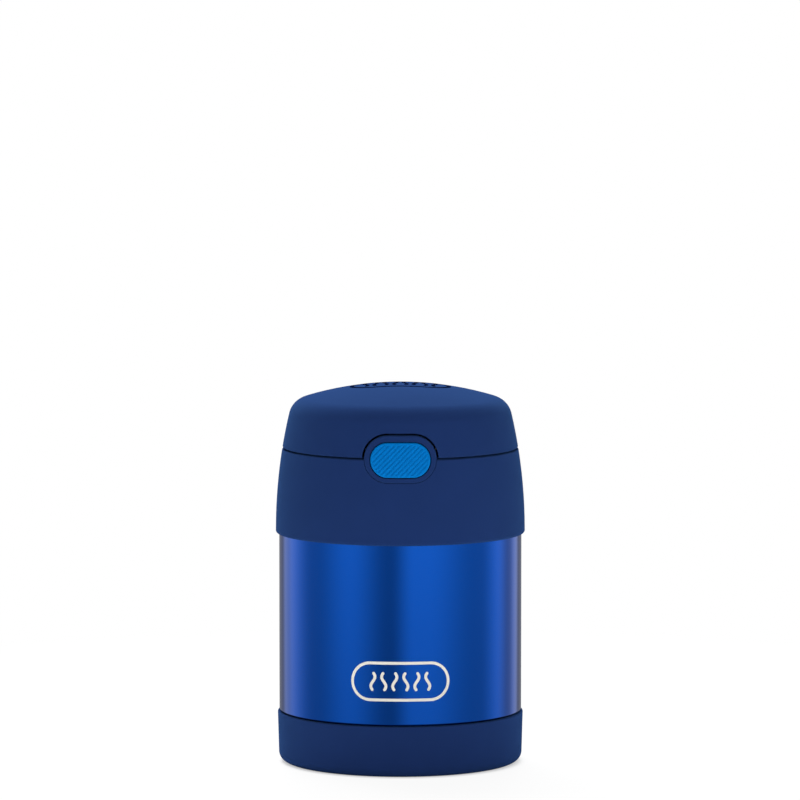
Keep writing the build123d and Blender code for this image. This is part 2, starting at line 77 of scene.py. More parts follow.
room_edges = (                          # degrees round from the camera, width, change of brightness
    (-146, 12, 0.60),
    (-130, 9, 0.24),
    (-108, 34, -0.56),
    (-68, 36, 0.41),
    (-29, 38, -0.57),
    (2, 22, 0.65),
    (50, 50, -0.45),
    (95, 26, 0.55),
    (115, 18, -0.58),
    (133, 12, 0.38),
    (148, 11, -0.68),
)


class Wire:
    """An output of a shader node. Arithmetic on it adds Math nodes to the same tree."""

    def __init__(self, board, socket):
        self.board = board
        self.socket = socket

    def also(self, output):
        """Another output of the same node."""
        return Wire(self.board, self.socket.node.outputs[output])

    def maths(self, operation, *terms):
        """A Math node on numbers and wires."""
        return self.board.node("ShaderNodeMath", {"operation": operation}, dict(enumerate(terms)))

    def __add__(self, other):
        return self.maths("ADD", self, other)

    def __sub__(self, other):
        return self.maths("SUBTRACT", self, other)

    def __rsub__(self, other):
        return self.maths("SUBTRACT", other, self)

    def __mul__(self, other):
        return self.maths("MULTIPLY", self, other)

    def __truediv__(self, other):
        return self.maths("DIVIDE", self, other)

    __radd__ = __add__
    __rmul__ = __mul__


class Board:
    """The shader nodes of a finish, or of the room."""

    def __init__(self, tree):
        self.tree = tree

    def node(self, kind, settings=None, sockets=None, output=0):
        """Adds a node: its settings first, then its sockets' values or links."""
        made = self.tree.nodes.new(kind)
        for name, value in (settings or {}).items():
            setattr(made, name, value)
        for name, value in (sockets or {}).items():
            self.plug(made.inputs[name], value)
        return Wire(self, made.outputs[output]) if made.outputs else made

    def plug(self, socket, value):
        """Links a wire to a socket, or sets the socket's own value."""
        if isinstance(value, Wire):
            self.tree.links.new(value.socket, socket)
        else:
            socket.default_value = value

    def eased(self, value, start, stop, high, low=0):
        """Step from low to high, 3 s^2 - 2 s^3, while a value goes from start to stop."""
        return self.node("ShaderNodeMapRange", {"interpolation_type": "SMOOTHSTEP"},
                         {"Value": value, "From Min": start, "From Max": stop,
                          "To Min": low, "To Max": high})


def grey(value):
    """Colour with the same value in each channel."""
    return (value, value, value, 1)


def light_room():
    """World: brightness by direction, changed at each upright edge as the angle goes round.

    brightness = back + sum of the changes, each eased in over its edge's width, faded to its high
    value by the height of the direction. Mirrors also see a pale ceiling and ground, and the
    camera sees plain white.
    """
    world = bpy.data.worlds.new("room")
    world.use_nodes = True
    bpy.context.scene.world = world
    world.node_tree.nodes.clear()
    room = Board(world.node_tree)
    direction = room.node("ShaderNodeTexCoord", output="Generated")
    x = room.node("ShaderNodeSeparateXYZ", sockets={0: direction})
    y, z = x.also("Y"), x.also("Z")
    angle = x.maths("ARCTAN2", x, 0 - y) * (180 / pi)
    level = room_back
    for centre, width, change in room_edges:
        level = level + room.eased(angle, centre - width / 2, centre + width / 2, change)
    height = z.maths("SMOOTH_MIN", z.maths("ABSOLUTE", z) * room_rise, 1, room_ease)
    level = level * (1 - height) + height * room_high
    path = room.node("ShaderNodeLightPath", output="Is Camera Ray")
    for way, most in ((z, ceiling_glow), (0 - z, ground_glow)):
        level = level + room.eased(way, *glow_reach, most) * path.also("Is Glossy Ray")
    bands = room.node("ShaderNodeBackground", sockets={"Color": grey(1), "Strength": level})
    plain = room.node("ShaderNodeBackground", sockets={"Color": grey(1), "Strength": 1})
    clear = path.maths("MAXIMUM", path, path.also("Is Transmission Ray"))
    seen = room.node("ShaderNodeMixShader", sockets={0: clear, 1: bands, 2: plain})
    room.node("ShaderNodeOutputWorld", sockets={"Surface": seen})


def lay_table():
    """Square floor. The camera sees it part lit, part plain white; mirrors see past it."""
    half = floor_size / 2
    mesh = bpy.data.meshes.new("table")
    corners = [(-half, -half, 0), (half, -half, 0), (half, half, 0), (-half, half, 0)]
    mesh.from_pydata(corners, [], [(0, 1, 2, 3)])
    table = bpy.data.objects.new("table", mesh)
    bpy.context.collection.objects.link(table)
    material = bpy.data.materials.new("table_top")
    material.use_nodes = True
    material.node_tree.nodes.clear()
    top = Board(material.node_tree)
    matt = top.node("ShaderNodeBsdfDiffuse", sockets={"Color": grey(floor_grey)})
    white = top.node("ShaderNodeEmission", sockets={"Color": grey(1), "Strength": 1})
    clear = top.node("ShaderNodeBsdfTransparent")
    path = top.node("ShaderNodeLightPath", output="Is Camera Ray")
    place = top.node("ShaderNodeTexCoord", output="Object")
    away = top.node("ShaderNodeVectorMath", {"operation": "LENGTH"}, {0: place}, "Value")
    glow = top.eased(away, *contact_reach, floor_glow, contact_glow)
    far = away.maths("MINIMUM", away / shadow_reach, 1)
    share = path * (glow + (1 - glow) * far)
    shown = top.node("ShaderNodeMixShader", sockets={0: share, 1: matt, 2: white})
    mirrored = path.also("Is Glossy Ray")
    seen = top.node("ShaderNodeMixShader", sockets={0: mirrored, 1: shown, 2: clear})
    top.node("ShaderNodeOutputMaterial", sockets={"Surface": seen})
    mesh.materials.append(material)


def hang_panels():
    """Square area lamps facing the jar. What shines mirrors the room instead of them."""
    for name, place, side, power in lamp_panels:
        lamp = bpy.data.lights.new(name, "AREA")
        lamp.size = side
        lamp.energy = power
        panel = bpy.data.objects.new(name, lamp)
        panel.location = place
        panel.rotation_euler = Vector(place).to_track_quat("Z", "Y").to_euler()
        panel.visible_glossy = False
        bpy.context.collection.objects.link(panel)


def set_camera():
    """Camera in front of the jar, looking along +Y and a little down."""
    lens = bpy.data.cameras.new("camera")
    lens.lens = camera_lens
    lens.clip_end = camera_sight
    camera = bpy.data.objects.new("camera", lens)
    camera.location = camera_place
    camera.rotation_euler = (radians(90 - camera_pitch), 0, 0)
    bpy.context.collection.objects.link(camera)
    bpy.context.scene.camera = camera


light_room()
lay_table()
hang_panels()
set_camera()
bpy.context.scene.view_settings.view_transform = "Standard"


# ---- Steel body ----
# Drawn stainless shell, spun in at the shoulder to a neck with a rolled two-start thread. A
# clear blue lacquer covers it up to the root of the neck, and the neck is left bare.
mm = 0.001


def span(node):
    """Lowest and highest corner of a CAD node, in millimetres."""
    return [np.array(corner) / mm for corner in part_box(node)]


steel = 0.6                             # wall
neck_height = 11.5
boot_seam = 0.45                        # between the boot's rim and the step in the body
foot_inset = 1.8                        # how much narrower the foot is, in the boot
body_low, body_high = span("outer_shell")
boot_rim_radius, _, boot_rim_z = span("base_boot")[1]
body_radius = body_high[0]
neck_radius = span("inner_liner")[1][0]
neck_top = body_high[2]
shoulder_z = neck_top - neck_height
step_z = boot_rim_z + boot_seam
foot_radius = body_radius - foot_inset
body_inside = body_radius - steel
body_corners = (                        # radius, height, rounding
    (foot_radius, body_low[2], 0),
    (foot_radius, step_z, 0),
    (body_radius, step_z, 0.5),
    (body_radius, shoulder_z, 3.5),
    (neck_radius, shoulder_z, 1.2),
    (neck_radius, neck_top, 0),
    (neck_radius - steel, neck_top, 0),
    (neck_radius - steel, shoulder_z - steel, 1.8),
    (body_inside, shoulder_z - steel, 2.9),
    (body_inside, step_z + steel, 0),
    (foot_radius - steel, step_z + steel, 0),
    (foot_radius - steel, body_low[2], 0),
)
neck_run = 4                            # the neck follows this corner
neck_step = 0.1                         # between the rows of points on it
columns_round = 480                     # points round the jar
crease = 38                             # degrees from which an edge is drawn sharp
thread_lead = 9.0
thread_starts = 2
thread_depth = 1.3
thread_turns = 0.95
thread_from = 0.25                      # turns from the front to where the first begins
thread_growth = 25                      # how fast, per turn, the ridge grows from its ends
thread_root = 1.15                      # half widths of the ridge
thread_crest = 0.25
thread_start_z = shoulder_z + 1.5
lacquer_edge = neck_radius + 1.4        # radius where the lacquer ends
lacquer_blue = (0.0012, 0.090, 0.52, 1)
lacquer_coat = 0.15
lacquer_rough = 0.10
flake_size = 0.12                       # of the lacquer's flakes, clouds and peel
cloud_size = 14.0
peel_size = 1.6
steel_tone = (0.60, 0.60, 0.61, 1)
steel_rough = 0.16                      # what bare steel adds to the lacquer's
line_size = 0.18                        # of the lines that turning leaves
around_axis = (60, 60, 1)               # stretch of lines that lie level round the jar
relief_depth = 0.0025


def smooth(share):
    """Eased step from 0 to 1: 3 s^2 - 2 s^3."""
    share = np.clip(share, 0, 1)
    return share * share * (3 - 2 * share)


def outline(corners, divided=(), step=1.0, bend_points=11):
    """Profile through corners given as radius, height and rounding.

    Each rounded corner is an arc tangent to both of its runs, at centre + rounding * (cos, sin).
    A run that follows a corner named in divided gets points a step apart or less.
    """
    spots = np.array([(r, z) for r, z, _ in corners], float)
    bends = []
    for i, (_, _, rounding) in enumerate(corners):
        here = spots[i]
        if not rounding:
            bends.append(here[None])
            continue
        back = spots[i - 1] - here
        ahead = spots[(i + 1) % len(spots)] - here
        back /= np.linalg.norm(back)
        ahead /= np.linalg.norm(ahead)
        half = np.arccos(np.clip(back @ ahead, -1, 1)) / 2
        middle = (back + ahead) / np.linalg.norm(back + ahead)
        centre = here + middle * rounding / np.sin(half)
        ends = [here + way * rounding / np.tan(half) - centre for way in (back, ahead)]
        start, stop = [np.arctan2(end[1], end[0]) for end in ends]
        sweep = (stop - start + pi) % (2 * pi) - pi
        turn = start + sweep * np.linspace(0, 1, bend_points)
        bends.append(centre + rounding * np.stack([np.cos(turn), np.sin(turn)], 1))
    path = []
    for i, bend in enumerate(bends):
        path.append(bend)
        if i in divided:
            start, stop = bend[-1], bends[i + 1][0]
            count = int(np.linalg.norm(stop - start) / step) + 2
            path.append(np.linspace(start, stop, count)[1:-1])
    return np.vstack(path)


def turned(profile):
    """Grid of a profile carried round the jar's axis: (r sin a, -r cos a, z).

    The profile may be one for all angles, or one for each angle.
    """
    angle = np.linspace(0, 2 * pi, columns_round, endpoint=False)
    radius, height = profile[..., 0], profile[..., 1]
    if radius.ndim == 1:
        radius, height = radius[:, None], height[:, None]
    x, y, z = np.broadcast_arrays(radius * np.sin(angle), -radius * np.cos(angle), height)
    return np.stack([x, y, z], -1)


def rolled_thread(profile):
    """Profile for each angle, with the thread on the neck: r + depth * ridge * ends.

    Along each start, the ridge eases from 1 at the crest's half width to 0 at the root's, by the
    distance of z from start + lead * turns, and the ends grow from nothing.
    """
    turn = np.linspace(0, 1, columns_round, endpoint=False)[None, :]
    radius, height = profile[:, :1], profile[:, 1:]
    rise = np.zeros((len(profile), columns_round))
    for first in np.arange(thread_starts) / thread_starts:
        along = (thread_from - turn - first) % 1
        off = np.abs(height - thread_start_z - thread_lead * along)
        ridge = smooth((thread_root - off) / (thread_root - thread_crest))
        ends = np.clip(np.minimum(along, thread_turns - along) * thread_growth, 0, 1)
        rise = np.maximum(rise, ridge * ends)
    on_neck = np.abs(radius - neck_radius) < 0.01
    radius = radius + thread_depth * rise * on_neck
    return np.stack([radius, np.broadcast_to(height, radius.shape)], -1)


def skin(name, grid, loop=False, poles=False):
    """Mesh over grids of points in millimetres, (..., rows, columns, 3), closed round the columns.

    A loop also joins a grid's last row to its first. Poles are the middles of its two end rows,
    and each is joined to its row by triangles. Faces are turned so that the enclosed volume,
    the sum of a . (b x c) / 6, is positive.
    """
    rows, columns = grid.shape[-3:-1]
    grid = grid.reshape(-1, rows, columns, 3)
    points = grid.reshape(-1, 3)
    first = (np.arange(len(grid)) * rows * columns)[:, None, None]
    i = np.arange(rows if loop else rows - 1)[:, None]
    j = np.arange(columns)[None]
    below, right = (i + 1) % rows, (j + 1) % columns
    corners = (i * columns + j, i * columns + right, below * columns + right, below * columns + j)
    quads = np.stack([first + corner for corner in corners], -1).reshape(-1, 4)
    triangles = np.empty((0, 3), int)
    if poles:
        ring, after = first[..., 0] + j, first[..., 0] + right
        last = (rows - 1) * columns
        pole = np.broadcast_to(len(points) + np.arange(len(grid))[:, None], ring.shape)
        points = np.vstack([points, grid[:, 0].mean(1), grid[:, -1].mean(1)])
        triangles = np.vstack([
            np.stack([pole, after, ring], -1).reshape(-1, 3),
            np.stack([pole + len(grid), last + ring, last + after], -1).reshape(-1, 3),
        ])
    corners = np.vstack([quads[:, [0, 1, 2]], quads[:, [0, 2, 3]], triangles])
    a, b, c = (points[corners[:, k]] for k in range(3))
    if (a * np.cross(b, c)).sum() < 0:
        quads, triangles = quads[:, ::-1], triangles[:, ::-1]
    mesh = bpy.data.meshes.new(name)
    mesh.from_pydata((points * mm).tolist(), [], quads.tolist() + triangles.tolist())
    mesh.shade_smooth()
    mesh.set_sharp_from_angle(angle=radians(crease))
    piece = bpy.data.objects.new(name, mesh)
    bpy.context.collection.objects.link(piece)
    return piece


def shade(tone, factor):
    """A colour made lighter or darker."""
    return tuple(channel * factor for channel in tone[:3]) + (1,)


class Finish(Board):
    """A material with one Principled shader. Its constant sockets are set by name."""

    def __init__(self, name, **constants):
        self.material = bpy.data.materials.new(name)
        self.material.use_nodes = True
        super().__init__(self.material.node_tree)
        self.shader = self.tree.nodes["Principled BSDF"]
        for socket, value in constants.items():
            self.shader.inputs[socket.replace("_", " ")].default_value = value
        self.place = self.node("ShaderNodeTexCoord", output="Object")

    def feed(self, socket, value):
        """Links a wire to one of the shader's sockets."""
        self.plug(self.shader.inputs[socket], value)

    def scaled(self, factors):
        """The place, with each axis multiplied."""
        return self.node("ShaderNodeVectorMath", {"operation": "MULTIPLY"},
                         {0: self.place, 1: factors})

    def noise(self, size, detail=2.0, stretch=(1, 1, 1)):
        """Noise, 0 to 1, whose features are about a size in millimetres, stretched by axis."""
        spot = self.scaled(tuple(1 / (size * mm * way) for way in stretch))
        return self.node("ShaderNodeTexNoise", None, {"Vector": spot, "Scale": 1, "Detail": detail},
                         "Fac")

    def radius(self):
        """Distance from the jar's axis, in millimetres."""
        flat = self.scaled((1 / mm, 1 / mm, 0))
        return self.node("ShaderNodeVectorMath", {"operation": "LENGTH"}, {0: flat}, "Value")

    def blend(self, share, low, high):
        """Colour between two, by a share. Sockets 6 and 7 and output 2 are the node's colours."""
        return self.node("ShaderNodeMix", {"data_type": "RGBA"}, {0: share, 6: low, 7: high}, 2)

    def bump(self, height, depth):
        """Normal from a height of 0 to 1 that stands for a depth in millimetres."""
        return self.node("ShaderNodeBump", None,
                         {"Height": height, "Distance": depth * mm, "Strength": 1})

    def cover(self, piece):
        """Gives the finish to a piece."""
        piece.data.materials.clear()
        piece.data.materials.append(self.material)


def lacquered_steel():
    """Blue lacquer below the neck, bare turned steel on it. Their relief fades at the edge."""
    finish = Finish("lacquered_steel", Metallic=1.0, Coat_Roughness=0.03, Coat_IOR=1.5)
    radius = finish.radius()
    bare = radius.maths("LESS_THAN", radius, lacquer_edge)
    inward = radius - lacquer_edge
    relief = inward.maths("MINIMUM", inward.maths("ABSOLUTE", inward) * 2, 1)
    flake = finish.noise(flake_size, detail=1.0)
    cloud = finish.noise(cloud_size)
    paint = finish.blend(flake * 0.5 + cloud * 0.5, shade(lacquer_blue, 0.93), lacquer_blue)
    lines = finish.noise(line_size, detail=3.0, stretch=around_axis)
    metal = finish.blend(lines, shade(steel_tone, 0.82), steel_tone)
    finish.feed("Base Color", finish.blend(bare, paint, metal))
    finish.feed("Roughness", bare * (steel_rough + 0.10 * lines) + lacquer_rough + 0.03 * cloud)
    finish.feed("Coat Weight", (1 - bare) * lacquer_coat)
    peel = finish.noise(peel_size)
    finish.feed("Normal", finish.bump((peel * (1 - bare) + lines * bare) * relief, relief_depth))
    return finish


threaded = rolled_thread(outline(body_corners, divided=(neck_run,), step=neck_step))
shell = skin("steel_shell", turned(threaded), loop=True)
lacquered_steel().cover(shell)
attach(shell, "jar")
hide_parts("outer_shell")


# ---- Food container and closing disc ----
# The liner is deep-drawn and turned to a fine satin, with the lip rolled at the mouth. The disc
# is welded in under it, and the boot hides it.
def worked_steel(name, tone, roughness, line, stretch):
    """Metal with fine lines, drawn out along the axes whose stretch is long."""
    finish = Finish(name, Metallic=1.0)
    lines = finish.noise(line, detail=3.0, stretch=stretch)
    cloud = finish.noise(9.0)
    finish.feed("Base Color", finish.blend(lines * 0.7 + cloud * 0.3, shade(tone, 0.8), tone))
    finish.feed("Roughness", lines * 0.12 + roughness)
    finish.feed("Normal", finish.bump(lines, depth=0.004))
    return finish


satin_steel = worked_steel("satin_steel", steel_tone, roughness=0.24, line=0.2,
                           stretch=around_axis)
for node in ("inner_liner", "shell_bottom"):
    satin_steel.cover(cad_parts[node])


# ---- Pieces in the vacuum ----
# Bright foil wrapped round the liner, a sintered pill that keeps the vacuum, and the solder bead
# that closes the hole in the disc. Only a cut through the wall would show them.
def cast_metal(name, tone, grain):
    """Dull metal with a grain, such as solder or a sintered pill."""
    finish = Finish(name, Metallic=1.0)
    grains = finish.noise(grain, detail=4.0)
    finish.feed("Base Color", finish.blend(grains, shade(tone, 0.7), tone))
    finish.feed("Roughness", grains * 0.25 + 0.4)
    finish.feed("Normal", finish.bump(grains, depth=0.03))
    return finish


foil_tone, pill_tone = grey(0.86), grey(0.3)
solder_tone = (0.60, 0.60, 0.57, 1)
foil = worked_steel("bright_foil", foil_tone, roughness=0.12, line=0.6, stretch=around_axis)
foil.cover(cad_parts["radiation_shield"])
cast_metal("solder", solder_tone, grain=0.9).cover(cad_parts["vacuum_seal_bead"])
cast_metal("sintered_pill", pill_tone, grain=0.25).cover(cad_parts["getter"])


# ---- Boot ----
# Moulded navy plastic, pressed over the steel foot up to the step in the body. It stands on a
# narrow ring round a shallow recess.
boot_inside = foot_radius + 0.3
boot_foot_radius = body_radius + 0.09
ring_radius = boot_inside - 5           # inner edge of the ring it stands on
recess_radius = ring_radius - 1
recess_z = 1.0
floor_z = 2.3
boot_corners = (                        # radius, height, rounding
    (0, recess_z, 0),
    (recess_radius, recess_z, 0.6),
    (ring_radius, 0, 0.6),
    (boot_foot_radius, 0, 3.5),
    (boot_rim_radius, boot_rim_z, 0.5),
    (boot_inside, boot_rim_z, 0.3),
    (boot_inside, floor_z, 0),
    (0, floor_z, 0),
)
navy = (0.0125, 0.0322, 0.126, 1)


def moulded(name, tone, roughness=0.55, grain=0.22, depth=0.006, gloss=0.03, **constants):
    """Plastic with a fine spark-eroded grain and slightly uneven colour."""
    finish = Finish(name, Specular_IOR_Level=gloss, **constants)
    fine = finish.noise(grain)
    cloud = finish.noise(11.0)
    finish.feed("Base Color", finish.blend(cloud * 0.7 + fine * 0.3, shade(tone, 0.9),
                                           shade(tone, 1.06)))
    finish.feed("Roughness", fine * 0.08 + cloud * 0.05 + roughness)
    finish.feed("Normal", finish.bump(fine, depth))
    return finish


navy_plastic = moulded("navy_plastic", navy, gloss=0.0, Sheen_Weight=0.08, Sheen_Roughness=0.6,
                       Sheen_Tint=(0.2, 0.5, 0.9, 1))
boot = skin("boot", turned(outline(boot_corners)[1:-1]), poles=True)
navy_plastic.cover(boot)
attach(boot, "jar")
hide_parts("base_boot")


# ---- Print on the body ----
# A pill-shaped frame round a row of steam waves, screen-printed on the lacquer in cream ink. The
# ink stands a few hundredths of a millimetre proud, with rounded stroke ends.
print_middle = 34.3                     # height above the table
print_half_width = 17.3                 # to the middle of the stroke
print_half_height = 6.55
print_stroke = 0.5                      # half width
print_waves = 6
wave_spacing = 3.9
wave_half_height = 3.3
wave_swing = 0.75
ink_sunk = 0.02
ink_proud = 0.05
bevel_width = 0.9                       # share of a stroke's width inside its bevels
bevel_start = 0.6                       # share of its height at which they start
cream = (0.88, 0.83, 0.74, 1)


def travelled(path):
    """Length along a path up to each of its points."""
    return np.concatenate([[0], np.cumsum(np.linalg.norm(np.diff(path, axis=0), axis=1))])


def evenly(loop, count):
    """A closed loop's points, moved along it to equal spacing."""
    loop = np.vstack([loop, loop[:1]])
    length = travelled(loop)
    places = np.linspace(0, length[-1], count, endpoint=False)
    return np.stack([np.interp(places, length, loop[:, axis]) for axis in (0, 1)], 1)


def pill(half_width, half_height, count=160):
    """Loop of points round a pill: two half circles joined by straight runs, evenly spaced."""
    turn = np.linspace(-pi / 2, pi / 2, 33)
    bend = np.stack([half_width - half_height + half_height * np.cos(turn),
                     half_height * np.sin(turn)], 1)
    return evenly(np.vstack([bend, -bend]), count)


def steam(middle, half_height, swing, flip, count=41):
    """Upright wave: u = middle + flip * swing * sin(pi * v / half height), with flip 1 or -1."""
    v = half_height * np.sin(np.linspace(-pi / 2, pi / 2, count))
    return np.stack([middle + flip * swing * np.sin(pi * v / half_height), v], 1)


def stroke(path, half_width, closed):
    """Bevelled bar along a path on a surface, as (u, v, share of its height) round its section.

    The half width at a distance e from an open end is sqrt(w^2 - (w - e)^2), a round end, with e
    at least a thousandth of a millimetre.
    """
    if closed:
        ahead = np.roll(path, -1, 0) - np.roll(path, 1, 0)
        half = np.full(len(path), half_width)
    else:
        ahead = np.gradient(path, axis=0)
        length = travelled(path)
        end = np.clip(np.minimum(length, length[-1] - length), 1e-3, half_width)
        half = np.sqrt(half_width**2 - (half_width - end) ** 2)
    ahead /= np.linalg.norm(ahead, axis=1)[:, None]
    side = np.stack([-ahead[:, 1], ahead[:, 0]], 1) * half[:, None]
    edges = [path + side, path + side * bevel_width, path - side * bevel_width, path - side]
    ring = np.stack(edges + edges[::-1], 1)
    level = np.array([bevel_start, 1, 1, bevel_start, 0, 0, 0, 0])
    return np.concatenate([ring, np.broadcast_to(level[None, :, None], ring.shape[:2] + (1,))], -1)


def on_body(bar):
    """Bar wrapped round the steel body: angle u / radius, height v above the print's middle."""
    radius = body_radius - ink_sunk + (ink_sunk + ink_proud) * bar[..., 2]
    angle = bar[..., 0] / body_radius
    height = print_middle + bar[..., 1]
    return np.stack([radius * np.sin(angle), -radius * np.cos(angle), height], -1)


def wave_bars(places, half_height, swing, half_width):
    """Row of steam waves that swing to one side and the other in turn."""
    flips = np.resize([1, -1], len(places))
    return np.stack([stroke(steam(place, half_height, swing, flip), half_width, closed=False)
                     for place, flip in zip(places, flips)])


ink = moulded("cream_ink", cream, roughness=0.45, grain=0.3, depth=0.002, gloss=0.2)
places = (np.arange(print_waves) - (print_waves - 1) / 2) * wave_spacing
frame_bar = stroke(pill(print_half_width, print_half_height), print_stroke, closed=True)
steam_bars = wave_bars(places, wave_half_height, wave_swing, print_stroke)
print_frame = skin("print_frame", on_body(frame_bar), loop=True)
print_steam = skin("print_steam", on_body(steam_bars), poles=True)
for piece in (print_frame, print_steam):
    ink.cover(piece)
    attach(piece, "jar")


# ---- Gasket, inner lid and its foam ----
# Silicone ring on the plug, over the lip. The plug, flange and threaded skirt are one pale
# moulding, filled with cut foam.
plug_tone = (0.55, 0.58, 0.62, 1)
silicone_tone = (0.60, 0.63, 0.65, 1)
foam_tone = (0.85, 0.84, 0.80, 1)
pale_plastic = moulded("pale_plastic", plug_tone, roughness=0.5, gloss=0.15)
pale_plastic.cover(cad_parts["inner_lid"])
silicone = moulded("silicone", silicone_tone, roughness=0.42, grain=0.5, depth=0.004, gloss=0.3)
silicone.cover(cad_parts["lid_gasket"])
foam = moulded("foam", foam_tone, roughness=0.9, grain=0.8, depth=0.1)
foam.cover(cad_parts["lid_insulation"])


# ---- Collar, tray and bezel ----
# Three navy mouldings that snap together. The collar carries the hinge's outer knuckles, the
# tray has the spoon's pocket and the latch's guides, and the bezel frames the button.
for node in ("lid_collar", "spoon_tray", "button_bezel"):
    navy_plastic.cover(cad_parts[node])


# ---- Button ----
# Push button in bright blue plastic, moulded with fine slanting ribs for the thumb. Its face
# follows the lid's bowed wall, and it slides in the bezel's well.
button_low, button_high = span("button_cap")
button_middle = (button_low[2] + button_high[2]) / 2
button_half_width = button_high[0]
button_half_height = (button_high[2] - button_low[2]) / 2
button_back_y = button_high[1]
button_round = 0.5
button_columns = 440
button_rings = 100                      # on the face
rounding_rings = 7
rib_pitch = 1.3
rib_depth = 0.22
rib_groove = 0.34                       # half width of the groove between ribs, in pitches
rib_painted_shade = 0.20                        # painted shade: how much darker the grooves' colour is made
rib_margin = 0.7                        # the ribs fade out this near the edge's rounding
lid_bow_radius = 184.4
lid_belly = (44.63, 83.25)              # widest place of the lid's wall: radius and height
button_proud = 0.35
bright_blue = (0.0, 0.174, 0.560, 1)


def button_ring(inset):
    """Outline of the button, inset."""
    return pill(button_half_width - inset, button_half_height - inset, button_columns)


def button_face(x, z):
    """Distance of the face in front of the jar's axis: sqrt(R(z)^2 - x^2), on the bowed wall."""
    bow = np.sqrt(lid_bow_radius**2 - (button_middle + z - lid_belly[1]) ** 2)
    radius = lid_belly[0] - lid_bow_radius + bow + button_proud
    return np.sqrt(radius**2 - x**2)


def ribbed_button():
    """Button's surface, and the depth of its grooves as a share, point by point.

    Rings lie from the middle of the face to its rounding, then down the sides. The grooves are
    eased dips about each whole number of (x - z) / (sqrt 2 * pitch), which fade out towards the
    rounding. The rounding falls back by round * (1 - cos) as it nears the edge.
    """
    inner = button_ring(button_round)
    share = np.linspace(0, 1, button_rings + 1)[1:, None, None]
    spots = inner * share
    phase = (spots[..., 0] - spots[..., 1]) / (2**0.5 * rib_pitch)
    off = np.abs(phase - np.round(phase)) / rib_groove
    edge = np.linalg.norm(inner, axis=1) * (1 - share[..., 0]) / rib_margin
    groove = smooth(1 - off) * np.clip(edge, 0, 1)
    face = button_face(spots[..., 0], spots[..., 1]) - rib_depth * groove
    rows = [np.stack([spots[..., 0], -face, spots[..., 1]], -1)]
    for turn in np.linspace(0, pi / 2, rounding_rings + 1)[1:]:
        rim = button_ring(button_round * (1 - np.sin(turn)))
        back = button_face(*rim.T) - button_round * (1 - np.cos(turn))
        rows.append(np.stack([rim[:, 0], -back, rim[:, 1]], -1)[None])
    rim = button_ring(0)
    rows.append(np.stack([rim[:, 0], np.full(len(rim), button_back_y), rim[:, 1]], -1)[None])
    grid = np.concatenate(rows) + (0, 0, button_middle)
    depth = np.zeros(grid.shape[:2])
    depth[:button_rings] = groove
    return grid, depth


grid, depth = ribbed_button()
button = skin("ribbed_button", grid, poles=True)
grooves = button.data.attributes.new("groove", "FLOAT", "POINT")
grooves.data.foreach_set("value", np.append(depth.ravel(), [0, 0]))
blue_plastic = moulded("blue_plastic", bright_blue, roughness=0.42, grain=0.15, depth=0.002)
# Painted shade in the grooves: the base colour darkens by each point's groove depth.
groove = blue_plastic.node("ShaderNodeAttribute", {"attribute_name": "groove"}, output="Fac")
groove_painted_shade_blue = shade(bright_blue, 1 - rib_painted_shade)
blue_plastic.feed("Base Color", blue_plastic.blend(groove, bright_blue, groove_painted_shade_blue))
blue_plastic.cover(button)
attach(button, "button")
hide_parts("button_cap")


# ---- Latch and springs ----
# The latch slide is a dark, waxy moulding clipped to the button, with a coil spring behind it that
# shortens as the button goes in. Music wire makes both springs, and the hinge pin is ground rod.
spring_low, spring_high = span("button_spring")
spring_wire = 0.4
spring_turns = 4
spring_closed = 0.75                    # turns that lie flat at each end
spring_rows = 200
wire_columns = 12
latch_dark = (0.030, 0.032, 0.036, 1)
wire_tone = grey(0.5)


def wound_wire():
    """Round wire on a helix about Y: (r cos t, y(t), r sin t), whose ends advance by one wire.

    Round its section, the wire's radius goes outwards by its cosine and along Y by its sine.
    """
    low, high = spring_low[1] + spring_wire / 2, spring_high[1] - spring_wire / 2
    laps = np.linspace(0, spring_turns, spring_rows)
    ends = (0, spring_closed, spring_turns - spring_closed, spring_turns)
    y = np.interp(laps, ends, (low, low + spring_wire, high - spring_wire, high))[:, None]
    turn = 2 * pi * laps[:, None]
    around = np.linspace(0, 2 * pi, wire_columns, endpoint=False)
    radius = (spring_high[0] - spring_low[0] - spring_wire) / 2 + spring_wire / 2 * np.cos(around)
    middle_z = (spring_low[2] + spring_high[2]) / 2
    return np.stack([radius * np.cos(turn), y + spring_wire / 2 * np.sin(around),
                     middle_z + radius * np.sin(turn)], -1)


latch_plastic = moulded("latch_plastic", latch_dark, roughness=0.4, grain=0.2, depth=0.003,
                        gloss=0.3)
latch_plastic.cover(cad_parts["latch_slide"])
drawn_wire = worked_steel("spring_steel", wire_tone, roughness=0.3, line=0.1, stretch=(1, 1, 1))
for node in ("hinge_spring", "hinge_pin"):
    drawn_wire.cover(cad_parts[node])
spring = skin("wound_spring", wound_wire(), poles=True)
drawn_wire.cover(spring)
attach(spring, "lid")
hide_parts("button_spring")
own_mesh(spring)


# ---- Folding spoon ----
# Pressed stainless spoon, folded flat in the tray's pocket. The neck of the bowl is curled round
# a rivet, and the channelled handle turns on the rivet with an ear at each side.
sheet = 0.8
sheet_edge = 0.25                       # rounding of its edges
bowl_low, bowl_high = span("spoon_bowl")
rivet_low, rivet_high = span("spoon_rivet")
handle_low, handle_high = span("spoon_handle")
pivot_x, _, pivot_z = (rivet_low + rivet_high) / 2
bowl_half_length = 23.0
bowl_half_width = bowl_high[1] - 0.15   # the egg shape adds the rest
bowl_depth = 6.4
bowl_egg = 0.12                         # how much narrower the tip is
bowl_middle = bowl_high[0] - bowl_half_length
bowl_rim_z = bowl_low[2] + bowl_depth
eye_radius = 1.8
eye_half_length = 3.0
ear_gap = 0.3
neck_start = bowl_middle - bowl_half_length + 0.4
neck_taper = 9                          # length over which it narrows
handle_middle_z = handle_high[2] - sheet / 2
